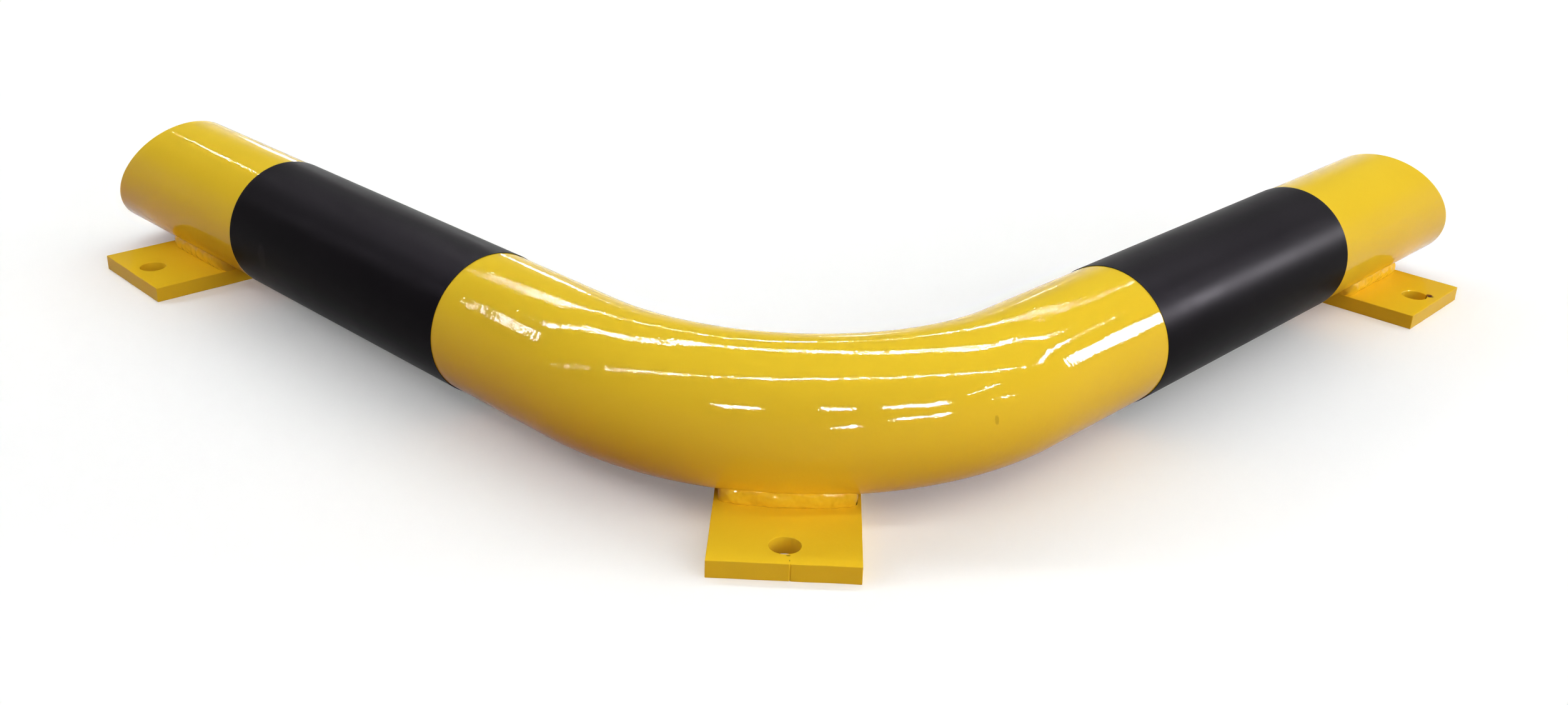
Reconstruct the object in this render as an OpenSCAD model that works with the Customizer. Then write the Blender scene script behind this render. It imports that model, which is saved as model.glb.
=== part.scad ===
// Low corner impact barrier: one steel tube bent round the corner, standing on three bolted foot plates.
// Units are millimetres. The floor is z = 0 and the origin is the anchor hole at the corner.
// One leg runs along +X and the other along +Y, so the corner it protects lies in the +X +Y quarter.

/* [Tube] */
// Outside diameter of the tube
tube_d = 76.1; // [60.3:0.1:88.9]
// Wall of the tube
tube_wall = 3; // [2.6:0.1:4]
// Radius of the bend, to the tube's axis
bend_r = 150; // [110:5:190]
// Length of each leg, along its axis from the sharp corner of the two axes
leg_len = 557.5; // [480:5:640]

/* [Bevelled ends] */
// Slope of the cut at the end of the +Y leg, away from square, the top being the shorter side
left_bevel = 32.5; // [10:0.5:40]
// The same slope at the end of the +X leg
right_bevel = 31.5; // [10:0.5:40]
// Turn of the +Y leg's cut about its tube, which leaves the outer side the longer one
left_bevel_turn = 4; // [0:1:40]
// The same turn at the end of the +X leg
right_bevel_turn = 33; // [0:1:40]

/* [End caps] */
// Thickness of the disc that closes each end
cap_t = 3; // [2:0.5:5]
// How far the disc sits inside the cut
cap_inset = 2.5; // [1.5:0.5:4]
// Play left round the disc
cap_play = 0.3; // [0.1:0.1:0.6]
// Width of the weld that fills the recess round the disc
cap_weld_w = 3; // [2:0.5:5]

/* [Foot plates] */
// Width of the flat bar, along the tube
plate_w = 70; // [60:1:90]
// Thickness of the flat bar
plate_t = 9; // [6:1:12]
// Reach of the corner plate in front of the tube's axis
corner_reach = 72; // [62:1:90]
// Reach of the two side plates in front of the tube's axis
side_reach = 63.5; // [60:0.5:80]
// Length of every plate behind the tube's axis
plate_heel = 36; // [32:1:50]
// Small break on the plates' upright corners
plate_corner_r = 1.2; // [0.5:0.1:3]

/* [Plate positions] */
// Corner plate's shift along the bend, towards the +X leg
corner_shift = -5.6; // [-12:0.1:12]
// Left plate's centre, back from the end of the +Y leg
left_plate_from_end = 55.5; // [50:0.5:70]
// Right plate's centre, back from the end of the +X leg
right_plate_from_end = 44.5; // [42:0.5:60]
// Hand-set turn of the corner plate, anticlockwise from above
corner_skew = -2.7; // [-4:0.1:4]
// Hand-set turn of the left plate
left_skew = -2.4; // [-4:0.1:4]
// Hand-set turn of the right plate
right_skew = 1.5; // [-4:0.1:4]

/* [Anchor holes] */
// Diameter of the anchor holes
hole_d = 15; // [11:0.5:18]
// Corner hole's centre, back from the plate's front edge
corner_hole_edge = 16; // [14:0.5:24]
// Side holes' centres, back from the plates' front edges
side_hole_edge = 14; // [12:0.5:20]

/* [Plate welds] */
// How far each bead stops short of its plate's two sides
bead_end_gap = 1.5; // [1.5:0.5:10]
// Plate toe of the bead, out from the tube's axis
bead_toe = 22.5; // [20:0.5:26]
// Height of the bead's other toe on the tube, above the plate
bead_h = 8.5; // [6:0.5:10]
// Bulge of the bead's face
bead_bulge = 1.4; // [0.6:0.1:2]
// How close to the contact line the weld runs in under the tube
bead_root = 13; // [11:0.5:16]

/* [Black bands] */
// Length of each black band
band_len = 198; // [120:2:220]
// Thickness of the film
band_t = 0.25; // [0.15:0.05:0.5]
// Layer of glue under the film
glue_t = 0.1; // [0.05:0.05:0.2]
// Far edge of the left band, back from the end of the +Y leg
left_band_from_end = 134; // [125:0.5:150]
// Far edge of the right band, back from the end of the +X leg
right_band_from_end = 128; // [115:0.5:150]
// Overlap of the film's two edges, along the underside
band_lap = 12; // [6:1:20]

/* [Hidden] */
$fn = 96;
tube_r = tube_d / 2;
bore_r = tube_r - tube_wall;
axis_z = plate_t + tube_r;
past = 1;
end_room = tube_d;
bead_len = plate_w - 2 * bead_end_gap;
left_plate_at = leg_len - left_plate_from_end;
right_plate_at = leg_len - right_plate_from_end;
left_band_at = leg_len - left_band_from_end - band_len;
right_band_at = leg_len - right_band_from_end - band_len;

// Middle of the bend, from the sharp corner of the axes
bend_mid = bend_r * (1 - sqrt(1 / 2));
corner_hole_out = corner_reach - corner_hole_edge;
corner_hole_x = corner_shift + corner_hole_out * sin(corner_skew);
corner_hole_y = -corner_hole_out * cos(corner_skew);
// The same hole seen from the sharp corner of the axes, with the bend turned by 45 degrees
origin_x = bend_mid + (corner_hole_x + corner_hole_y) * sqrt(1 / 2);
origin_y = bend_mid + (corner_hole_y - corner_hole_x) * sqrt(1 / 2);

// Tube toe of a bead: the point on the tube's circle that is bead_h above the plate
bead_top_x = sqrt(tube_r * tube_r - (tube_r - bead_h) * (tube_r - bead_h));
bead_chord = sqrt((bead_top_x - bead_toe) * (bead_top_x - bead_toe) + bead_h * bead_h);
bead_face_r = (bead_chord * bead_chord / 4 + bead_bulge * bead_bulge) / (2 * bead_bulge);
bead_in = bead_face_r - bead_bulge;

// Moves what is drawn from the sharp corner of the axes to the part's own origin
module from_origin() {
    translate([-origin_x, -origin_y, 0]) children();
}

// Three seats: each child is drawn with the tube along X over its origin and the front at -Y
module on_right_leg(at = 0, skew = 0) {
    from_origin() translate([at, 0, 0]) rotate(skew) children();
}

module on_left_leg(at = 0, skew = 0) {
    from_origin() translate([0, at, 0]) rotate(skew - 90) children();
}

module on_bend(shift = 0, skew = 0) {
    from_origin()
        translate([bend_mid, bend_mid, 0])
            rotate(-45)
                translate([shift, 0, 0])
                    rotate(skew) children();
}

// A solid rod that follows the tube's axis, used for its outside and for its bore
module axis_rod(r, extra = 0) {
    straight = leg_len - bend_r + end_room + extra;
    translate([bend_r, bend_r, axis_z])
        rotate(180)
            rotate_extrude(angle = 90, $fn = 180)
                translate([bend_r, 0]) circle(r);
    translate([bend_r, 0, axis_z])
        rotate([0, 90, 0]) cylinder(r = r, h = straight);
    translate([0, bend_r, axis_z])
        rotate([-90, 0, 0]) cylinder(r = r, h = straight);
}

// Frames of the two cuts: +X points out of the tube, square to the cut, from the cut's middle
module right_cut() {
    translate([leg_len, 0, axis_z])
        rotate([-right_bevel_turn, 0, 0])
            rotate([0, -right_bevel, 0]) children();
}

module left_cut() {
    translate([0, leg_len, axis_z])
        rotate([left_bevel_turn, 0, 90])
            rotate([0, -left_bevel, 0]) children();
}

// Everything beyond a cut
module beyond(start = 0, depth = 4 * tube_d) {
    translate([start, -tube_d, -2 * tube_d]) cube([depth, 2 * tube_d, 4 * tube_d]);
}

module bent_tube() {
    color("gold")
        from_origin()
            difference() {
                axis_rod(tube_r);
                axis_rod(bore_r, past);
                right_cut() beyond();
                left_cut() beyond();
            }
}

// Disc that fills the bore between two planes parallel to the cut; "at" is the leg it closes
module right_plug(r, start, depth) {
    intersection() {
        translate([bend_r, 0, axis_z])
            rotate([0, 90, 0]) cylinder(r = r, h = leg_len - bend_r + end_room);
        right_cut() beyond(start, depth);
    }
}

module left_plug(r, start, depth) {
    intersection() {
        translate([0, bend_r, axis_z])
            rotate([-90, 0, 0]) cylinder(r = r, h = leg_len - bend_r + end_room);
        left_cut() beyond(start, depth);
    }
}

module right_end_cap() {
    color("goldenrod") from_origin() right_plug(bore_r - cap_play, -cap_inset - cap_t, cap_t);
}

module left_end_cap() {
    color("goldenrod") from_origin() left_plug(bore_r - cap_play, -cap_inset - cap_t, cap_t);
}

// Weld round each disc, laid in the recess against the bore
module right_cap_weld() {
    color("goldenrod")
        from_origin()
            difference() {
                right_plug(bore_r, -cap_inset, cap_inset);
                right_plug(bore_r - cap_weld_w, -cap_inset - past, cap_inset + 2 * past);
            }
}

module left_cap_weld() {
    color("goldenrod")
        from_origin()
            difference() {
                left_plug(bore_r, -cap_inset, cap_inset);
                left_plug(bore_r - cap_weld_w, -cap_inset - past, cap_inset + 2 * past);
            }
}

// Flat bar with its upright corners just broken
module plate_outline(reach) {
    back = plate_heel - plate_corner_r;
    front = plate_corner_r - reach;
    side = plate_w / 2 - plate_corner_r;
    translate([-side, -reach]) square([2 * side, reach + plate_heel]);
    translate([-plate_w / 2, front]) square([plate_w, back - front]);
    for (x = [-side, side], y = [front, back])
        translate([x, y]) circle(plate_corner_r, $fn = 24);
}

module foot_plate(reach, hole_edge) {
    color("gold")
        difference() {
            linear_extrude(plate_t) plate_outline(reach);
            translate([0, hole_edge - reach, -past]) cylinder(d = hole_d, h = plate_t + 2 * past, $fn = 64);
        }
}

module corner_plate() {
    on_bend(corner_shift, corner_skew) foot_plate(corner_reach, corner_hole_edge);
}

module left_plate() {
    on_left_leg(left_plate_at, left_skew) foot_plate(side_reach, side_hole_edge);
}

module right_plate() {
    on_right_leg(right_plate_at, right_skew) foot_plate(side_reach, side_hole_edge);
}

// Section of a bead: x is the distance from the tube's axis, y the height. It fills the wedge
// between the tube and the plate out to a rounded face that meets each of them at a toe.
module bead_section() {
    mid = [(bead_toe + bead_top_x) / 2, plate_t + bead_h / 2];
    inward = [-bead_h, bead_top_x - bead_toe] / bead_chord;
    difference() {
        union() {
            polygon([
                [bead_root, plate_t],
                [bead_toe, plate_t],
                [bead_top_x, plate_t + bead_h],
                [bead_root, plate_t + bead_h]
            ]);
            intersection() {
                translate(mid + inward * bead_in) circle(bead_face_r, $fn = 64);
                translate([bead_root, plate_t]) square([bead_face_r + bead_toe, bead_h]);
            }
        }
        translate([0, axis_z]) circle(tube_r);
    }
}

// Straight bead along a leg; side is -1 in front of the tube and 1 behind it
module straight_bead(side) {
    color("goldenrod")
        translate([-bead_len / 2, 0, 0])
            rotate([90, 0, 90])
                linear_extrude(bead_len)
                    mirror([side < 0 ? 1 : 0, 0]) bead_section();
}

// Bead round the bend; its length is measured where the bead is farthest from the bend's centre
module bent_bead(side) {
    far_r = bend_r + (side < 0 ? bead_top_x + bead_bulge : -bead_root);
    sweep = bead_len / far_r * 180 / PI;
    middle = corner_shift / bend_r * 180 / PI;
    color("goldenrod")
        from_origin()
            translate([bend_r, bend_r, 0])
                rotate(225 + middle - sweep / 2)
                    rotate_extrude(angle = sweep, $fn = 180)
                        translate([bend_r, 0])
                            mirror([side < 0 ? 0 : 1, 0]) bead_section();
}

module corner_outer_weld() { bent_bead(-1); }
module corner_inner_weld() { bent_bead(1); }
module left_outer_weld() { on_left_leg(left_plate_at) straight_bead(-1); }
module left_inner_weld() { on_left_leg(left_plate_at) straight_bead(1); }
module right_outer_weld() { on_right_leg(right_plate_at) straight_bead(-1); }
module right_inner_weld() { on_right_leg(right_plate_at) straight_bead(1); }

// Self-adhesive film once round the tube, its second edge lapped over the first underneath
module black_band() {
    band_r = tube_r + glue_t;
    lap = band_lap / band_r * 180 / PI;
    color([0.06, 0.06, 0.07])
        translate([0, 0, axis_z])
            rotate([90, 0, 90]) {
                linear_extrude(band_len)
                    difference() {
                        circle(band_r + band_t);
                        circle(band_r);
                    }
                rotate(-90)
                    rotate_extrude(angle = lap)
                        translate([band_r + band_t, 0]) square([band_t, band_len]);
            }
}

module left_black_band() { on_left_leg(left_band_at + band_len) black_band(); }
module right_black_band() { on_right_leg(right_band_at) black_band(); }

bent_tube();
left_end_cap();
right_end_cap();
left_cap_weld();
right_cap_weld();
corner_plate();
left_plate();
right_plate();
corner_outer_weld();
left_outer_weld();
right_outer_weld();
corner_inner_weld();
left_inner_weld();
right_inner_weld();
left_black_band();
right_black_band();
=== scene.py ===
import math

import bmesh
import bpy
from mathutils import Matrix, Vector, noise


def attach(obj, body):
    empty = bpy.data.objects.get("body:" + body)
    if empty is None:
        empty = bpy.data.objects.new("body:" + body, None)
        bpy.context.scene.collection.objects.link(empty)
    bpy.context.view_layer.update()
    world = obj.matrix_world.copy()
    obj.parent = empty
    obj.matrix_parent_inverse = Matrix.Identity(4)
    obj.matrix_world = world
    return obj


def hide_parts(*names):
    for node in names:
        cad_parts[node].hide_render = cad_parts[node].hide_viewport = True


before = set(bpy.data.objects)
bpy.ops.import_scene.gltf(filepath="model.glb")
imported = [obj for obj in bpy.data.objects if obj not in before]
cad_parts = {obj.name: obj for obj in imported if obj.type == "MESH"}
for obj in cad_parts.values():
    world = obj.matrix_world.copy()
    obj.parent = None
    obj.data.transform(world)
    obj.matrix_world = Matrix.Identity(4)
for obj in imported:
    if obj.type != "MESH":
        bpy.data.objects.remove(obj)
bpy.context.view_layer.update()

# Camera
# A hand-held camera stood 0.6 m in front of the corner at half a metre's height, looking down
# along the line that halves the corner, and tipped a little clockwise.
CAMERA_PLACE = Vector((-0.4698, -0.4319, 0.3921))
CAMERA_TURN = math.radians(-47.06)
CAMERA_DOWN = math.radians(24.31)
CAMERA_TIP = math.radians(2.26)
FOCAL_MM = 37.8

camera_data = bpy.data.cameras.new("camera")
camera_data.sensor_width = 36.0
camera_data.lens = FOCAL_MM
camera_data.clip_end = 60.0
camera = bpy.data.objects.new("camera", camera_data)
bpy.context.scene.collection.objects.link(camera)
camera.matrix_world = (
    Matrix.Translation(CAMERA_PLACE)
    @ Matrix.Rotation(CAMERA_TURN, 4, "Z")
    @ Matrix.Rotation(math.pi / 2 - CAMERA_DOWN, 4, "X")
    @ Matrix.Rotation(CAMERA_TIP, 4, "Z")
)
bpy.context.scene.camera = camera


# Floor
# A plain pale painted floor, wide enough to fill the view. It is matt, so it shows only the
# barrier's soft shadow. What it throws back up at the barrier is toned down to a hall floor's.
FLOOR_SIZE = 60.0
FLOOR_COLOUR = "FBFBFA"
BOUNCE_COLOUR = "88421F"
FLOOR_LIFT = 0.12
FLOOR_NEAR = 1.6
FLOOR_FAR = 5.0
FAR_GLOW = 1.04


def linear(hex_colour):
    """The linear colour of an sRGB hex value such as F2C230."""
    channels = [int(hex_colour[i:i + 2], 16) / 255 for i in (0, 2, 4)]
    return [c / 12.92 if c <= 0.04045 else ((c + 0.055) / 1.055) ** 2.4 for c in channels] + [1.0]


def add_node(tree, kind, settings=None, **sockets):
    """Adds a node; a socket is given a value or another node's output. sN names the input N."""
    node = tree.nodes.new(kind)
    for name, value in (settings or {}).items():
        setattr(node, name, value)
    for name, value in sockets.items():
        socket = node.inputs[int(name[1:])] if name[1:].isdigit() else node.inputs[name.replace("_", " ")]
        if isinstance(value, bpy.types.NodeSocket):
            tree.links.new(value, socket)
        else:
            socket.default_value = value
    return node


def new_material(name):
    """An empty node material and its output node."""
    material = bpy.data.materials.new(name)
    material.use_nodes = True
    material.node_tree.nodes.clear()
    return material, add_node(material.node_tree, "ShaderNodeOutputMaterial")


floor_paint, floor_output = new_material("matt_floor_paint")
floor_tree = floor_paint.node_tree
ray = add_node(floor_tree, "ShaderNodeLightPath").outputs
seen = add_node(
    floor_tree, "ShaderNodeMath", {"operation": "MAXIMUM"},
    s0=ray["Is Camera Ray"], s1=ray["Is Glossy Ray"],
)
seen = add_node(
    floor_tree, "ShaderNodeMath", {"operation": "MAXIMUM"},
    s0=seen.outputs[0], s1=ray["Is Transmission Ray"],
)
floor_shade = add_node(
    floor_tree, "ShaderNodeMix", {"data_type": "RGBA"},
    s0=seen.outputs[0], s6=linear(BOUNCE_COLOUR), s7=linear(FLOOR_COLOUR),
)
floor_shader = add_node(floor_tree, "ShaderNodeBsdfDiffuse", Color=floor_shade.outputs[2])
paleness = add_node(floor_tree, "ShaderNodeMath", {"operation": "MULTIPLY"}, s0=seen.outputs[0], s1=FLOOR_LIFT)
lift = add_node(floor_tree, "ShaderNodeEmission", Color=linear(FLOOR_COLOUR), Strength=paleness.outputs[0])
pale_floor = add_node(floor_tree, "ShaderNodeAddShader", s0=floor_shader.outputs[0], s1=lift.outputs[0])
floor_place = add_node(floor_tree, "ShaderNodeTexCoord").outputs["Object"]
away = add_node(floor_tree, "ShaderNodeVectorMath", {"operation": "LENGTH"}, s0=floor_place)
far_part = add_node(
    floor_tree, "ShaderNodeMapRange", {"interpolation_type": "SMOOTHSTEP"}, Value=away.outputs["Value"],
    From_Min=FLOOR_NEAR, From_Max=FLOOR_FAR, To_Min=0.0, To_Max=1.0,
)
far_part = add_node(floor_tree, "ShaderNodeMath", {"operation": "MULTIPLY"}, s0=far_part.outputs[0], s1=seen.outputs[0])
far_floor = add_node(floor_tree, "ShaderNodeEmission", Color=linear(FLOOR_COLOUR), Strength=FAR_GLOW)
whole_floor = add_node(
    floor_tree, "ShaderNodeMixShader", s0=far_part.outputs[0], s1=pale_floor.outputs[0], s2=far_floor.outputs[0],
)
floor_tree.links.new(whole_floor.outputs[0], floor_output.inputs["Surface"])

floor_bm = bmesh.new()
bmesh.ops.create_grid(floor_bm, x_segments=2, y_segments=2, size=FLOOR_SIZE / 2)
floor_mesh = bpy.data.meshes.new("floor")
floor_bm.to_mesh(floor_mesh)
floor_bm.free()
floor_mesh.materials.append(floor_paint)
floor = bpy.data.objects.new("floor", floor_mesh)
bpy.context.scene.collection.objects.link(floor)


# Light
# A hall's ceiling lamps, near and far, and a window on the right, which the gloss paint mirrors as
# thin broken lines and spots. Soft strips and boxes that it doesn't mirror give the even light.
HALL = Matrix.Rotation(math.radians(-45), 4, "Z")
CEILING = 4.0
BARRIER = Vector((0.12, 0.12, 0.04))
# What the gloss mirrors on the ceiling: each row's width, glow and points, x right and y away
LAMP_ROWS = {
    "far_row_near_end": (0.03, 190, [(-3.1, 3.77), (-2.5, 4.0)]),
    "far_row": (0.055, 300, [(-2.5, 4.0), (-2.0, 4.65), (-1.1, 5.6), (-0.3, 5.9), (0.1, 6.4), (0.5, 7.4)]),
    "far_row_right": (0.05, 300, [(0.5, 7.4), (1.1, 7.4), (1.5, 6.6), (2.2, 5.8)]),
    "far_row_right_end": (0.03, 150, [(2.2, 5.8), (3.0, 4.35), (3.6, 4.5)]),
    "far_row_left": (0.05, 190, [(-4.5, 5.5), (-4.3, 4.8)]),
    "back_row": (0.09, 340, [(-4.3, 2.05), (-2.4, 2.05), (-1.75, 1.75), (-1.15, 1.95), (-0.65, 2.65), (0.3, 2.75)]),
    "back_row_right": (0.1, 340, [(0.3, 2.75), (0.95, 2.25), (1.6, 2.05), (2.3, 1.75), (2.8, 2.3), (4.4, 2.65)]),
    "second_row": (0.08, 340, [(-2.4, 2.35), (-1.75, 2.05), (-1.15, 2.3), (-0.65, 3.0), (0.3, 3.1)]),
    "second_row_right": (0.08, 340, [(0.3, 3.1), (0.95, 2.6), (1.6, 2.4), (2.3, 2.1), (2.8, 2.65)]),
    "left_row": (0.15, 220, [(-7.7, 1.45), (-5.6, 1.8)]),
    "middle_row": (0.1, 420, [(-5.0, -1.54), (-1.8, -1.25), (-0.7, -1.1), (0.6, -0.83), (1.5, -0.73), (3.9, -0.53)]),
    "middle_row_right": (0.1, 420, [(3.9, -0.53), (5.9, 0.0)]),
    "middle_row_left": (0.05, 340, [(-14.0, -1.6), (-9.0, -1.7)]),
    "middle_row_gap": (0.06, 340, [(-8.0, -1.65), (-6.2, -1.6)]),
    "front_row_left": (0.9, 500, [(-3.3, -6.6), (-1.4, -6.4)]),
    "front_row": (0.9, 500, [(0.9, -5.8), (2.2, -5.9)]),
    "front_row_right": (0.8, 500, [(3.1, -5.4), (6.4, -5.6)]),
    "side_row_front": (0.25, 400, [(6.2, -3.8), (6.55, -2.0)]),
    "side_row": (0.22, 340, [(6.5, 0.3), (5.8, 1.6), (5.9, 2.4)]),
    "far_front_row": (2.6, 500, [(7.4, -12.9), (14.7, -13.6)]),
    "far_right_row": (0.5, 400, [(12.2, -5.8), (17.0, -5.7)]),
}
# What it mirrors lower down: degrees right of straight behind, up, its width and height, its glow
LOW_LAMPS = {
    "side_window": (78.5, 16.5, 6.0, 9.0, 230.0),
    "front_lamp": (164.5, 8.2, 8.0, 2.2, 500.0),
    "back_lamp_left": (-3.4, 10.5, 2.6, 3.0, 32.0),
    "back_lamp_end": (-12.6, 4.0, 2.2, 5.0, 8.0),
    "back_lamp": (3.9, 7.2, 1.2, 2.4, 10.0),
    "back_lamp_right": (7.2, 10.0, 1.2, 2.0, 10.0),
}
LOW_LAMP_AWAY = 15.0
# What lights the barrier from the ceiling: glow, width and both ends
LIGHT_STRIPS = {
    "far_strip": (6.6, 0.3, (-4.5, 5.3), (3.7, 5.3)),
    "back_strip": (15.6, 0.3, (-3.6, 2.4), (4.4, 2.6)),
    "middle_strip": (6.6, 0.3, (-5.0, -1.5), (6.0, -0.5)),
    "front_strip": (9.5, 0.3, (-3.0, -6.2), (6.2, -5.7)),
    "side_strip": (8.0, 0.3, (6.5, -3.7), (5.9, 2.4)),
    "far_front_strip": (36.0, 0.6, (7.4, -12.9), (14.1, -13.3)),
    "far_left_strip": (36.0, 0.5, (-10.3, 1.3), (-5.1, 1.7)),
    "far_right_strip": (36.0, 0.5, (12.2, -5.8), (17.0, -5.7)),
}
# Soft boxes: degrees right of straight behind, up, distance, size and glow
SOFT_BOXES = {
    "window_box": (77.5, 15.5, 6.0, 0.8, 24.0),
    "key_box": (135, 14, 4.0, 2.0, 4.1),
    "front_low_box": (180, 12, 4.0, 1.6, 1.3),
    "front_high_box": (180, 45, 4.0, 2.0, 1.5),
    "right_high_box": (95, 40, 4.0, 2.0, 0.8),
    "left_low_box": (-90, 14, 4.0, 1.6, 0.25),
    "left_high_box": (-95, 40, 4.0, 2.0, 0.15),
    "back_low_box": (0, 20, 4.0, 1.6, 0.8),
    "back_left_box": (-55, 45, 4.0, 2.0, 0.15),
    "back_right_box": (55, 45, 4.0, 2.0, 0.15),
}


def lamp(name, place, along, length, width, glow, target, mirrored):
    """A flat lamp that faces a point, its length along a direction. It is mirrored, or it lights."""
    data = bpy.data.lights.new(name, "AREA")
    data.shape = "RECTANGLE"
    data.size = length
    data.size_y = width
    data.energy = glow * math.pi * length * width
    light = bpy.data.objects.new(name, data)
    bpy.context.scene.collection.objects.link(light)
    back = (place - target).normalized()
    side = (along - along.dot(back) * back).normalized()
    light.matrix_world = Matrix.Translation(place) @ Matrix((side, back.cross(side), back)).transposed().to_4x4()
    light.visible_glossy = mirrored
    light.visible_diffuse = not mirrored
    return light


def ceiling_lamp(name, start, end, width, glow, mirrored):
    """A strip on the ceiling from one point to another, facing straight down."""
    start, end = HALL @ Vector((*start, CEILING)), HALL @ Vector((*end, CEILING))
    middle = (start + end) / 2
    lamp(name, middle, end - start, (end - start).length, width, glow, middle - Vector((0, 0, 1)), mirrored)


def far_place(turn, rise, distance):
    """A point seen from the barrier at so many degrees to the right of straight behind, and up."""
    turn, rise = math.radians(turn), math.radians(rise)
    level = distance * math.cos(rise)
    return HALL @ Vector((level * math.sin(turn), level * math.cos(turn), distance * math.sin(rise)))


def level_at(place):
    """The level direction square to the line from the barrier to a place."""
    return (place - BARRIER).cross(Vector((0, 0, 1)))


for name, (width, glow, points) in LAMP_ROWS.items():
    for number, (start, end) in enumerate(zip(points, points[1:])):
        ceiling_lamp(f"{name}_{number}", start, end, width, glow, True)
for name, (turn, rise, width, height, glow) in LOW_LAMPS.items():
    place = far_place(turn, rise, LOW_LAMP_AWAY)
    width, height = LOW_LAMP_AWAY * math.radians(width), LOW_LAMP_AWAY * math.radians(height)
    lamp(name, place, level_at(place), width, height, glow, BARRIER, True)
for name, (glow, width, start, end) in LIGHT_STRIPS.items():
    ceiling_lamp(name, start, end, width, glow, False)
for name, (turn, rise, distance, size, glow) in SOFT_BOXES.items():
    place = far_place(turn, rise, distance)
    lamp(name, place, level_at(place), size, size, glow, BARRIER, False)

world = bpy.data.worlds.new("hall")
bpy.context.scene.world = world
world.use_nodes = True
world_tree = world.node_tree
hall_light = world_tree.nodes["Background"]
hall_light.inputs["Color"].default_value = linear("F1F3F6")
hall_light.inputs["Strength"].default_value = 0.12
# To the eye, and in the gloss, the hall's walls are pale too
ray = add_node(world_tree, "ShaderNodeLightPath").outputs
seen = add_node(
    world_tree, "ShaderNodeMath", {"operation": "MAXIMUM"}, s0=ray["Is Camera Ray"], s1=ray["Is Glossy Ray"],
)
seen = add_node(
    world_tree, "ShaderNodeMath", {"operation": "MAXIMUM"}, s0=seen.outputs[0], s1=ray["Is Transmission Ray"],
)
direction = add_node(world_tree, "ShaderNodeTexCoord").outputs["Generated"]
height = add_node(world_tree, "ShaderNodeSeparateXYZ", Vector=direction).outputs["Z"]
wall = add_node(
    world_tree, "ShaderNodeMapRange", {"interpolation_type": "SMOOTHSTEP"}, Value=height,
    From_Min=0.1, From_Max=0.4, To_Min=FAR_GLOW, To_Max=0.2,
)
walls = add_node(world_tree, "ShaderNodeBackground", Color=linear(FLOOR_COLOUR), Strength=wall.outputs[0])
hall = add_node(
    world_tree, "ShaderNodeMixShader", s0=seen.outputs[0], s1=hall_light.outputs[0], s2=walls.outputs[0],
)
world_tree.links.new(hall.outputs[0], world_tree.nodes["World Output"].inputs["Surface"])
bpy.context.scene.view_settings.view_transform = "Standard"


# Bent tube
# One length of 76.1 mm steel tube, bent cold to a right angle and cut to a bevel at both ends,
# then powder coated chrome yellow in a thick gloss that flows over every edge.
MM = 0.001
TUBE_R = 38.05 * MM
TUBE_WALL = 3 * MM
BEND_R = 150 * MM
LEG = 557.5 * MM
AXIS_Z = 47.05 * MM
# Where the axes of the two legs would cross, seen from the corner plate's anchor hole
CROSSING = Vector((1.445, -10.205, 0)) * MM
LEFT_BEVEL = math.radians(32.5)
RIGHT_BEVEL = math.radians(31.5)
LEFT_BEVEL_TURN = math.radians(4)
RIGHT_BEVEL_TURN = math.radians(-33)
PLAIN_END = 34 * MM
EDGE_ROUND = 0.5 * MM
WAVE = 0.08 * MM


def powder_coat(name, colour, deep_colour, peel, marks=(), sag_size=16 * MM, sag_depth=0.13 * MM, shine=0.05):
    """Polyester powder coat, sprayed and baked: glossy, with the fine waves of orange peel."""
    material, output = new_material(name)
    tree = material.node_tree
    coords = add_node(tree, "ShaderNodeTexCoord").outputs["Object"]
    cloud = add_node(tree, "ShaderNodeTexNoise", Vector=coords, Scale=1 / 0.09, Detail=3.0, Roughness=0.6)
    shade = add_node(
        tree, "ShaderNodeMix", {"data_type": "RGBA"},
        s0=cloud.outputs["Fac"], s6=linear(colour), s7=linear(deep_colour),
    )
    for mark in marks:
        shade = add_mark(tree, coords, shade, *mark)
    # Real peel has cells of about a millimetre; these are twice as wide, as coarse as they need to show
    orange_peel = add_node(tree, "ShaderNodeTexNoise", Vector=coords, Scale=1 / 0.0018, Detail=1.0, Roughness=0.5)
    sag = add_node(tree, "ShaderNodeTexNoise", Vector=coords, Scale=1 / sag_size, Detail=1.0)
    fine = add_node(tree, "ShaderNodeBump", Height=orange_peel.outputs["Fac"], Strength=1.0, Distance=peel)
    broad = add_node(
        tree, "ShaderNodeBump", Height=sag.outputs["Fac"], Strength=1.0, Distance=sag_depth, Normal=fine.outputs[0],
    )
    gloss = add_node(
        tree, "ShaderNodeMapRange", Value=cloud.outputs["Fac"], From_Min=0.3, From_Max=0.7, To_Min=0.02, To_Max=0.04,
    )
    shader = add_node(tree, "ShaderNodeBsdfPrincipled", IOR=1.5, Specular_IOR_Level=shine)
    tree.links.new(shade.outputs[2], shader.inputs["Base Color"])
    tree.links.new(gloss.outputs[0], shader.inputs["Roughness"])
    tree.links.new(broad.outputs[0], shader.inputs["Normal"])
    tree.links.new(shader.outputs[0], output.inputs["Surface"])
    return material


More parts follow.
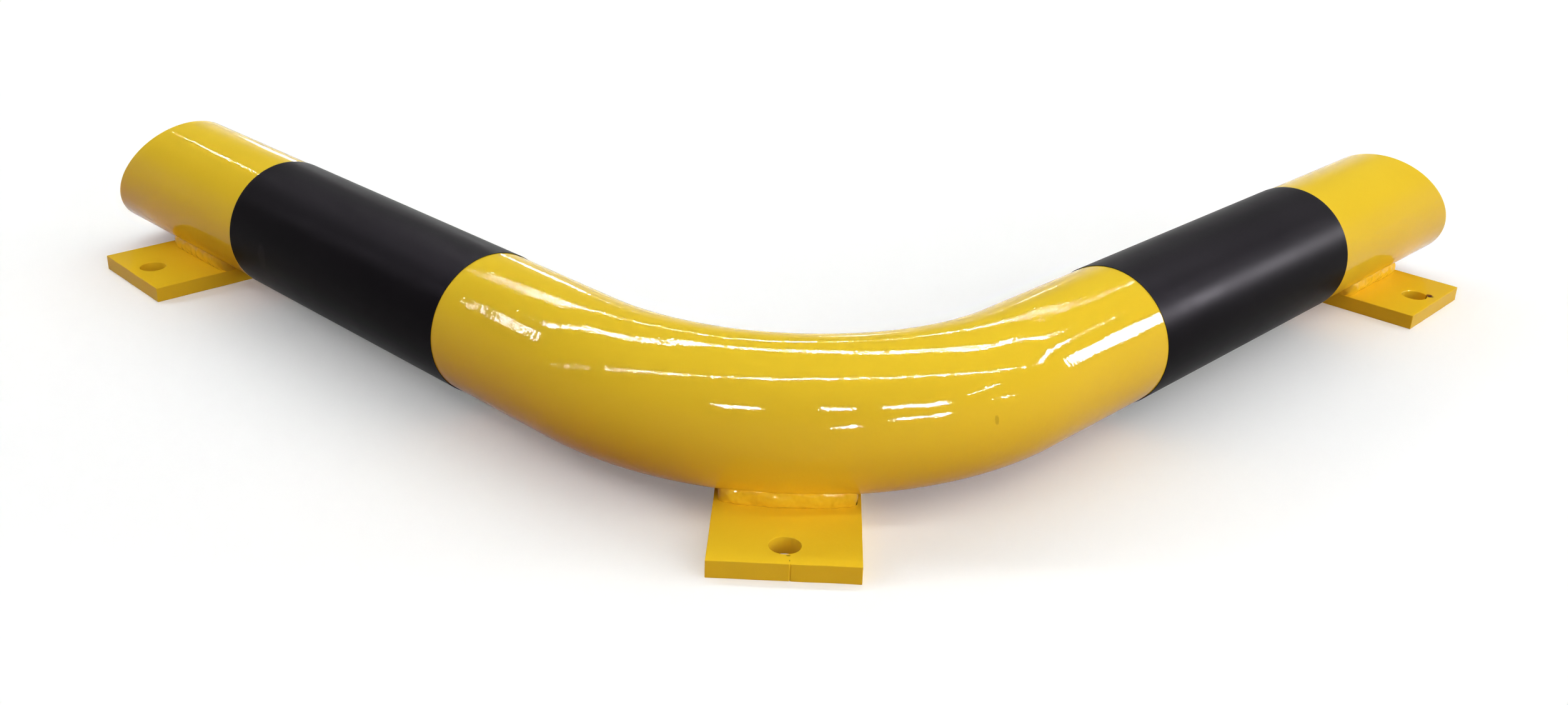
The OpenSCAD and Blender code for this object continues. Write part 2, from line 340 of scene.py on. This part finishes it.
def add_mark(tree, coords, shade, place, turn, size, colour, strength):
    """Lays a small soft-edged mark over a shade: its place, turn and half lengths in millimetres."""
    spot = add_node(tree, "ShaderNodeMapping", {"vector_type": "TEXTURE"}, Vector=coords)
    spot.inputs["Location"].default_value = Vector(place) * MM
    spot.inputs["Rotation"].default_value = (0, 0, math.radians(turn))
    spot.inputs["Scale"].default_value = Vector(size) * MM
    # The ragged rim of a real chip is finer; it is drawn as coarse as it needs to show
    ragged = add_node(tree, "ShaderNodeTexNoise", Vector=coords, Scale=1 / 0.0011, Detail=2.0)
    ball = add_node(tree, "ShaderNodeTexGradient", {"gradient_type": "SPHERICAL"}, Vector=spot.outputs[0])
    rough_ball = add_node(
        tree, "ShaderNodeMath", {"operation": "MULTIPLY"}, s0=ball.outputs["Fac"], s1=ragged.outputs["Fac"],
    )
    mask = add_node(
        tree, "ShaderNodeMapRange", {"interpolation_type": "SMOOTHSTEP"}, Value=rough_ball.outputs[0],
        From_Min=0.02, From_Max=0.2, To_Min=0.0, To_Max=strength,
    )
    return add_node(
        tree, "ShaderNodeMix", {"data_type": "RGBA"}, s0=mask.outputs[0], s6=shade.outputs[2], s7=linear(colour),
    )


def to_crossing(*turns):
    """Places what was drawn with the tube along X over the origin and the front at -Y."""
    matrix = Matrix.Translation(CROSSING)
    for turn in turns:
        matrix = matrix @ turn
    return matrix


def finish_piece(bm, name, material, replaced, edge_round=0.0, edge_angle=math.radians(32)):
    """Makes a piece of the barrier from its bmesh: it hides its CAD nodes, stands in their place and rides with the
    root body.
    """
    bmesh.ops.recalc_face_normals(bm, faces=bm.faces)
    mesh = bpy.data.meshes.new(name)
    bm.to_mesh(mesh)
    bm.free()
    mesh.shade_smooth()
    mesh.materials.append(material)
    piece = bpy.data.objects.new(name, mesh)
    bpy.context.scene.collection.objects.link(piece)
    if edge_round:
        rounding = piece.modifiers.new("painted_edge", "BEVEL")
        rounding.width = edge_round
        rounding.segments = 3
        rounding.limit_method = "ANGLE"
        rounding.angle_limit = edge_angle
        rounding.harden_normals = True
    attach(piece, "root")
    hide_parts(*replaced)
    return piece


def stretch_edges(bm, edges, direction, lengths):
    """Draws a ring of edges out along a straight leg, one length after another."""
    for length in lengths:
        drawn = bmesh.ops.extrude_edge_only(bm, edges=edges)["geom"]
        edges = [e for e in drawn if isinstance(e, bmesh.types.BMEdge)]
        verts = [v for v in drawn if isinstance(v, bmesh.types.BMVert)]
        bmesh.ops.translate(bm, verts=verts, vec=direction * length)
    return edges


def tube_wall(bm, radius, around, round_bend, along):
    """One skin of the tube: a ring spun round the bend and drawn out along both legs."""
    start = Matrix.Translation((BEND_R, 0, AXIS_Z)) @ Matrix.Rotation(math.pi / 2, 4, "Y")
    ring = bmesh.ops.create_circle(bm, segments=around, radius=radius, matrix=start)["verts"]
    first = list({e for v in ring for e in v.link_edges})
    spun = bmesh.ops.spin(
        bm, geom=first, cent=(BEND_R, BEND_R, AXIS_Z), axis=(0, 0, 1), angle=-math.pi / 2, steps=round_bend,
    )["geom_last"]
    last = [e for e in spun if isinstance(e, bmesh.types.BMEdge)]
    step = (LEG - PLAIN_END - BEND_R) / along
    lengths = [step] * along + [2 * PLAIN_END]
    stretch_edges(bm, first, Vector((1, 0, 0)), lengths)
    stretch_edges(bm, last, Vector((0, 1, 0)), lengths)


def cut_normals():
    """Outward directions of the two bevel cuts, left then right."""
    square = Vector((1, 0, 0))
    left = Matrix.Rotation(LEFT_BEVEL_TURN, 3, "X") @ Matrix.Rotation(-LEFT_BEVEL, 3, "Y") @ square
    left = Matrix.Rotation(math.pi / 2, 3, "Z") @ left
    right = Matrix.Rotation(RIGHT_BEVEL_TURN, 3, "X") @ Matrix.Rotation(-RIGHT_BEVEL, 3, "Y") @ square
    return left, right


def wave_surface(bm, height, length, offset):
    """Moves the skin in and out by a slow noise, as a cold bend and a dip of paint leave it."""
    bm.normal_update()
    for v in bm.verts:
        v.co += v.normal * height * (noise.noise((v.co + offset) / length) - 0.5)


# A faint rub on the right half of the bend
TUBE_MARKS = [
    ((97.9, -39.6, 53.7), 20, (1.3, 2.6, 3.0), "A8801C", 0.4),
]
# A deep even yellow, glossy enough to mirror the lamps as thin wavering lines and spots
tube_paint = powder_coat("gloss_yellow_powder_coat", "F1CC32", "EDC62E", 0.045 * MM, TUBE_MARKS)
tube_bm = bmesh.new()
tube_wall(tube_bm, TUBE_R, 128, 100, 50)
wave_surface(tube_bm, WAVE, 0.045, Vector((3.1, 0.7, 1.9)))
tube_wall(tube_bm, TUBE_R - TUBE_WALL, 64, 40, 8)
left_cut, right_cut = cut_normals()
for normal, cut_place in ((left_cut, Vector((0, LEG, AXIS_Z))), (right_cut, Vector((LEG, 0, AXIS_Z)))):
    everything = tube_bm.verts[:] + tube_bm.edges[:] + tube_bm.faces[:]
    bmesh.ops.bisect_plane(
        tube_bm, geom=everything, plane_co=cut_place - normal * 1.5 * MM, plane_no=normal, dist=1e-7,
    )
    everything = tube_bm.verts[:] + tube_bm.edges[:] + tube_bm.faces[:]
    cut = bmesh.ops.bisect_plane(
        tube_bm, geom=everything, plane_co=cut_place, plane_no=normal, dist=1e-7, clear_outer=True,
    )["geom_cut"]
    rims = [e for e in cut if isinstance(e, bmesh.types.BMEdge)]
    bmesh.ops.triangle_fill(tube_bm, use_beauty=True, edges=rims, normal=normal)
bmesh.ops.transform(tube_bm, matrix=to_crossing(), verts=tube_bm.verts)
finish_piece(tube_bm, "tube", tube_paint, ["bent_tube"], EDGE_ROUND)


# Foot plates
# Three pieces of 70 x 9 mm flat bar, cropped to length and drilled for one floor anchor each,
# under the same yellow coat. The corner one was set a little askew when it was tacked on.
PLATE_W = 70 * MM
PLATE_T = 9 * MM
PLATE_HEEL = 36 * MM
CORNER_REACH = 72 * MM
SIDE_REACH = 63.5 * MM
CORNER_HOLE_EDGE = 16 * MM
SIDE_HOLE_EDGE = 14 * MM
HOLE_R = 7.5 * MM
BEND_MID = BEND_R * (1 - math.sqrt(0.5))
CORNER_SHIFT = -5.6 * MM
LEFT_PLATE_AT = LEG - 55.5 * MM
RIGHT_PLATE_AT = LEG - 44.5 * MM

bend_seat = to_crossing(
    Matrix.Translation((BEND_MID, BEND_MID, 0)),
    Matrix.Rotation(math.radians(-45), 4, "Z"),
    Matrix.Translation((CORNER_SHIFT, 0, 0)),
)
left_seat = to_crossing(Matrix.Translation((0, LEFT_PLATE_AT, 0)), Matrix.Rotation(math.radians(-90), 4, "Z"))
right_seat = to_crossing(Matrix.Translation((RIGHT_PLATE_AT, 0, 0)))


def foot_plate(name, reach, hole_edge, seat, skew, notch_at=None):
    """Flat bar with its drilled hole; the cropped edges wander by a few tenths of a millimetre."""
    bm = bmesh.new()
    half = PLATE_W / 2
    corners = [(-half, -reach), (half, -reach), (half, PLATE_HEEL), (-half, PLATE_HEEL)]
    if notch_at is not None:
        corners[1:1] = [(notch_at - 0.4 * MM, -reach), (notch_at, 0.5 * MM - reach), (notch_at + 0.4 * MM, -reach)]
    outline = [bm.verts.new((x, y, PLATE_T)) for x, y in corners]
    edges = [bm.edges.new((a, b)) for a, b in zip(outline, outline[1:] + outline[:1])]
    long_edges = [e for e in edges if e.calc_length() > 5 * MM]
    bmesh.ops.subdivide_edges(bm, edges=long_edges, cuts=24)
    for v in bm.verts:
        inward = Vector((-math.copysign(1.0, v.co.x), -math.copysign(1.0, v.co.y)))
        v.co.y += 0.18 * MM * noise.noise(v.co / 0.011 + Vector((reach * 900, 0, 0))) + 0.05 * MM * inward.y
        v.co.x += 0.12 * MM * noise.noise(v.co / 0.013 + Vector((0, reach * 700, 5))) + 0.05 * MM * inward.x
    bmesh.ops.create_circle(
        bm, segments=64, radius=HOLE_R, matrix=Matrix.Translation((0, hole_edge - reach, PLATE_T)),
    )
    bmesh.ops.triangle_fill(bm, use_beauty=True, edges=bm.edges[:])
    solid = bmesh.ops.extrude_face_region(bm, geom=bm.faces[:])["geom"]
    bmesh.ops.translate(
        bm, verts=[g for g in solid if isinstance(g, bmesh.types.BMVert)], vec=(0, 0, -PLATE_T),
    )
    bmesh.ops.transform(bm, matrix=seat @ Matrix.Rotation(math.radians(skew), 4, "Z"), verts=bm.verts)
    return finish_piece(bm, name + "_bar", plate_paint, [name], 0.45 * MM, math.radians(40))


# The scribed middle line on the corner plate's front edge, with its groove's shade painted in dark brown, rust on the
# right hole's rim, and chips
PLATE_MARKS_AND_GROOVE_SHADE = [
    ((-8.0, -10.5, 4.5), -45, (0.45, 1.5, 7.5), "5A4310", 0.85),
    ((521.2, -67.4, 7.0), 0, (3.0, 3.4, 4.4), "3E1608", 1.0),
    ((522.6, -66.4, 8.8), 0, (2.2, 2.2, 1.6), "6E3010", 0.9),
    ((-5.3, -7.2, 8.8), -45, (1.3, 0.7, 0.9), "6B4A10", 0.7),
]
# The same coat on flat bar: it shades evenly and darkens only where it was chipped or rubbed, and along the scribed
# line, where the groove's shade is painted in
plate_paint = powder_coat("yellow_powder_coat_on_flat_bar", "F2CB2E", "ECC026", 0.05 * MM, PLATE_MARKS_AND_GROOVE_SHADE)
foot_plate("corner_plate", CORNER_REACH, CORNER_HOLE_EDGE, bend_seat, -2.7, notch_at=2.7 * MM)
foot_plate("left_plate", SIDE_REACH, SIDE_HOLE_EDGE, left_seat, -2.4)
foot_plate("right_plate", SIDE_REACH, SIDE_HOLE_EDGE, right_seat, 1.5)


# Plate welds
# One fillet bead on each side of the tube at each plate, run by hand with wire feed: lumpy,
# drawn in to its root at both ends, and half drowned in the yellow coat.
BEAD_LEN = PLATE_W - 0.6 * MM
BEAD_TOE = 22.5 * MM
BEAD_H = 8.5 * MM
BEAD_BULGE = 1.2 * MM
BEAD_ROOT = 13 * MM
BEAD_STEPS = 120
BEAD_FACE = 16
END_TAPER = 7 * MM
# How far the side beads stop short of the plate's far edge: at the near end of x, then at its far end
LEFT_BEAD_SHORT = 9 * MM
RIGHT_BEAD_SHORT = -5 * MM


def bead_section(toe_out, height, bulge):
    """Points round a bead's section, out from the tube's axis and up: its face, then its root."""
    top_out = math.sqrt(TUBE_R ** 2 - (TUBE_R - height) ** 2)
    toe = Vector((toe_out, PLATE_T))
    top = Vector((top_out, PLATE_T + height))
    outward = Vector((top.y - toe.y, toe.x - top.x)).normalized()
    face = [
        toe.lerp(top, i / BEAD_FACE) + outward * bulge * math.sin(math.pi * i / BEAD_FACE) ** 0.8
        for i in range(BEAD_FACE + 1)
    ]
    inside = [(0.4, 0.6), (0.0, 0.15), (0.0, 0.0)]
    root = [Vector((BEAD_ROOT + a * (top_out - BEAD_ROOT), PLATE_T + b * height)) for a, b in inside]
    return face + root


def weld_bead(name, side, seat, bend_centre=None, seed=0.0, short=0.0):
    """A bead drawn along its plate, tapered and made lumpy, then bent round with the tube."""
    bm = bmesh.new()
    section = bead_section(BEAD_TOE, BEAD_H, BEAD_BULGE)
    points = [bm.verts.new((-BEAD_LEN / 2, p.x, p.y)) for p in section]
    ring = [bm.edges.new((a, b)) for a, b in zip(points, points[1:] + points[:1])]
    number = {(round(p.x, 7), round(p.y, 7)): i for i, p in enumerate(section)}
    last = stretch_edges(bm, ring, Vector((1, 0, 0)), [BEAD_LEN / BEAD_STEPS] * BEAD_STEPS)
    for end in (ring, last):
        bmesh.ops.edgeloop_fill(bm, edges=end)
    for v in bm.verts:
        x = v.co.x
        from_end = BEAD_LEN / 2 - abs(x)
        full = math.sqrt(max(0.0, 1 - (1 - min(1.0, from_end / END_TAPER)) ** 2))
        toe = BEAD_TOE - (1 - full) * 5 * MM + 0.7 * MM * noise.noise(Vector((x / 0.008, seed, 2)))
        height = BEAD_H - (1 - full) * 5 * MM + 0.7 * MM * noise.noise(Vector((x / 0.007, seed, 5)))
        bulge = BEAD_BULGE * full + 0.5 * MM * noise.noise(Vector((x / 0.006, seed, 9)))
        i = number[(round(v.co.y, 7), round(v.co.z, 7))]
        place = bead_section(toe, height, bulge)[i]
        v.co = Vector((x * (1 - abs(short) / BEAD_LEN) + short / 2, place.x, place.y))
    bmesh.ops.recalc_face_normals(bm, faces=bm.faces)
    bm.normal_update()
    for v in bm.verts:
        drops = noise.noise(Vector((v.co.x / 0.0042, v.co.z / 0.003, seed + 7)))
        v.co += 0.35 * MM * drops * Vector((0, v.normal.y, v.normal.z))
    for v in bm.verts:
        x, out, z = v.co.x, v.co.y, v.co.z
        if bend_centre is None:
            v.co = Vector((x, -side * out, z))
        else:
            bead_top = math.sqrt(TUBE_R ** 2 - (TUBE_R - BEAD_H) ** 2) + BEAD_BULGE
            far = BEND_R + bead_top if side > 0 else BEND_R - BEAD_ROOT
            angle = CORNER_SHIFT / BEND_R + x / far
            radius = BEND_R + side * out
            v.co = bend_centre + Vector((radius * math.sin(angle), -radius * math.cos(angle), z))
    bmesh.ops.transform(bm, matrix=seat, verts=bm.verts)
    return finish_piece(bm, name + "_bead", weld_paint, [name], 0.4 * MM, math.radians(60))


# Painted shade: dark spots in the pinholes at the two ends of the corner bead, where it meets the plate's edge and the
# tube
WELD_PIT_SHADE = [
    ((0.6, 45.6, 10.6), 0, (2.0, 2.0, 2.2), "33210A", 0.95),
    ((51.4, 1.6, 10.8), 0, (2.4, 2.4, 2.4), "33210A", 0.95),
]
# A thicker, lumpier coat that sags over the bead and catches the light along its ridge
weld_paint = powder_coat(
    "thick_powder_coat_on_weld", "EDC42B", "E0B124", 0.06 * MM, WELD_PIT_SHADE, 5 * MM, 1.0 * MM, shine=0.12,
)
bend_centre = Vector((-CORNER_SHIFT, math.sqrt(2) * (BEND_R - BEND_MID), 0))
for side, place in ((1, "outer"), (-1, "inner")):
    weld_bead(f"corner_{place}_weld", side, bend_seat, bend_centre, seed=1.3)
    weld_bead(f"left_{place}_weld", side, left_seat, seed=4.1, short=LEFT_BEAD_SHORT)
    weld_bead(f"right_{place}_weld", side, right_seat, seed=8.6, short=RIGHT_BEAD_SHORT)


# End caps
# A steel disc welded into each bevelled mouth, just inside the cut, and coated with the rest.
CAP_INSET = 2.5 * MM
CAP_WELD_R = 2.0 * MM

for name in ("left_end_cap", "right_end_cap"):
    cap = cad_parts[name]
    cap.data.materials.clear()
    cap.data.materials.append(plate_paint)


def cap_weld(name, bevel, turn, seat):
    """A round bead in the corner between the disc and the bore, sheared into the cut's plane."""
    bm = bmesh.new()
    bead = bmesh.ops.create_circle(
        bm, segments=14, radius=CAP_WELD_R,
        matrix=Matrix.Translation((0, 0, TUBE_R - TUBE_WALL - 0.9 * MM)) @ Matrix.Rotation(math.pi / 2, 4, "X"),
    )["verts"]
    edges = list({e for v in bead for e in v.link_edges})
    bmesh.ops.spin(bm, geom=edges, axis=(1, 0, 0), angle=2 * math.pi, steps=160, use_merge=True)
    bmesh.ops.remove_doubles(bm, verts=bm.verts, dist=1e-6)
    bm.normal_update()
    for v in bm.verts:
        round_axis = math.atan2(v.co.z, v.co.y)
        ripple = 0.15 * MM * math.sin(86 * round_axis) + 0.3 * MM * noise.noise(v.co / 0.006)
        v.co += v.normal * ripple
    shear = Matrix.Identity(4)
    shear[0][2] = -math.tan(bevel)
    place = Matrix.Translation((LEG - CAP_INSET / math.cos(bevel) - 0.2 * MM, 0, AXIS_Z))
    bmesh.ops.transform(bm, matrix=seat @ place @ Matrix.Rotation(turn, 4, "X") @ shear, verts=bm.verts)
    return finish_piece(bm, name + "_bead", weld_paint, [name])


cap_weld("left_cap_weld", LEFT_BEVEL, LEFT_BEVEL_TURN, to_crossing(Matrix.Rotation(math.pi / 2, 4, "Z")))
cap_weld("right_cap_weld", RIGHT_BEVEL, RIGHT_BEVEL_TURN, to_crossing())


# Black bands
# Self-adhesive black vinyl film, wound once round each leg and rubbed down, with its second
# edge lapped over the first underneath. It is satin, so it shows lamps only as a soft sheen.
BAND_LEN = 198 * MM
FILM_R = TUBE_R + 0.12 * MM
FILM_T = 0.22 * MM
LEFT_BAND_AT = BEND_R + 75.5 * MM
RIGHT_BAND_AT = BEND_R + 81.5 * MM
# Two dull rubs on the film, one on each leg
FILM_MARKS = [
    ((-36.6, 378.6, 46.6), 0, (3.0, 5.0, 9.0), "2E2A2D", 0.2),
    ((372.2, -30.0, 68.9), 0, (7.0, 6.0, 5.0), "4A444A", 0.25),
]


def vinyl_film(name, colour):
    """Calendered vinyl: nearly black, satin, with a fine grain that blurs reflections."""
    material, output = new_material(name)
    tree = material.node_tree
    coords = add_node(tree, "ShaderNodeTexCoord").outputs["Object"]
    cloud = add_node(tree, "ShaderNodeTexNoise", Vector=coords, Scale=1 / 0.05, Detail=4.0, Roughness=0.65)
    shade = add_node(
        tree, "ShaderNodeMix", {"data_type": "RGBA"},
        s0=cloud.outputs["Fac"], s6=linear(colour), s7=linear("0B090B"),
    )
    for mark in FILM_MARKS:
        shade = add_mark(tree, coords, shade, *mark)
    # The film's real grain is a tenth of a millimetre; it is drawn as coarse as it needs to show
    grain = add_node(tree, "ShaderNodeTexNoise", Vector=coords, Scale=1 / 0.0012, Detail=2.0, Roughness=0.6)
    bump = add_node(tree, "ShaderNodeBump", Height=grain.outputs["Fac"], Strength=1.0, Distance=0.02 * MM)
    satin = add_node(
        tree, "ShaderNodeMapRange", Value=cloud.outputs["Fac"], From_Min=0.3, From_Max=0.7, To_Min=0.33, To_Max=0.4,
    )
    shader = add_node(
        tree, "ShaderNodeBsdfPrincipled", IOR=1.5, Specular_IOR_Level=0.017, Specular_Tint=linear("EACFFF"),
    )
    tree.links.new(shade.outputs[2], shader.inputs["Base Color"])
    tree.links.new(satin.outputs[0], shader.inputs["Roughness"])
    tree.links.new(bump.outputs[0], shader.inputs["Normal"])
    tree.links.new(shader.outputs[0], output.inputs["Surface"])
    return material


def black_band(name, seat):
    """A thin sleeve of film from one spun strip, with a second strip lapped underneath."""
    bm = bmesh.new()
    for radius, angle, steps in ((FILM_R, 2 * math.pi, 160), (FILM_R + FILM_T, math.radians(18), 12)):
        corners = [(0, radius), (BAND_LEN, radius), (BAND_LEN, radius + FILM_T), (0, radius + FILM_T)]
        strip = [bm.verts.new((x, 0, -r)) for x, r in corners]
        edges = [bm.edges.new((a, b)) for a, b in zip(strip, strip[1:] + strip[:1])]
        whole = angle > 6
        spun = bmesh.ops.spin(bm, geom=edges, axis=(1, 0, 0), angle=angle, steps=steps, use_merge=whole)["geom_last"]
        if not whole:
            bmesh.ops.edgeloop_fill(bm, edges=edges)
            bmesh.ops.edgeloop_fill(bm, edges=[e for e in spun if isinstance(e, bmesh.types.BMEdge)])
    bmesh.ops.remove_doubles(bm, verts=bm.verts, dist=1e-7)
    bmesh.ops.translate(bm, verts=bm.verts, vec=(0, 0, AXIS_Z))
    bmesh.ops.transform(bm, matrix=seat, verts=bm.verts)
    return finish_piece(bm, name + "_film", film, [name], 0.08 * MM)


# Nearly black, with one broad grey sheen along the leg in place of the paint's sharp lines
film = vinyl_film("black_vinyl_film", "070607")
left_leg_band = to_crossing(Matrix.Translation((0, LEFT_BAND_AT, 0)), Matrix.Rotation(math.pi / 2, 4, "Z"))
black_band("left_black_band", left_leg_band)
black_band("right_black_band", to_crossing(Matrix.Translation((RIGHT_BAND_AT, 0, 0))))
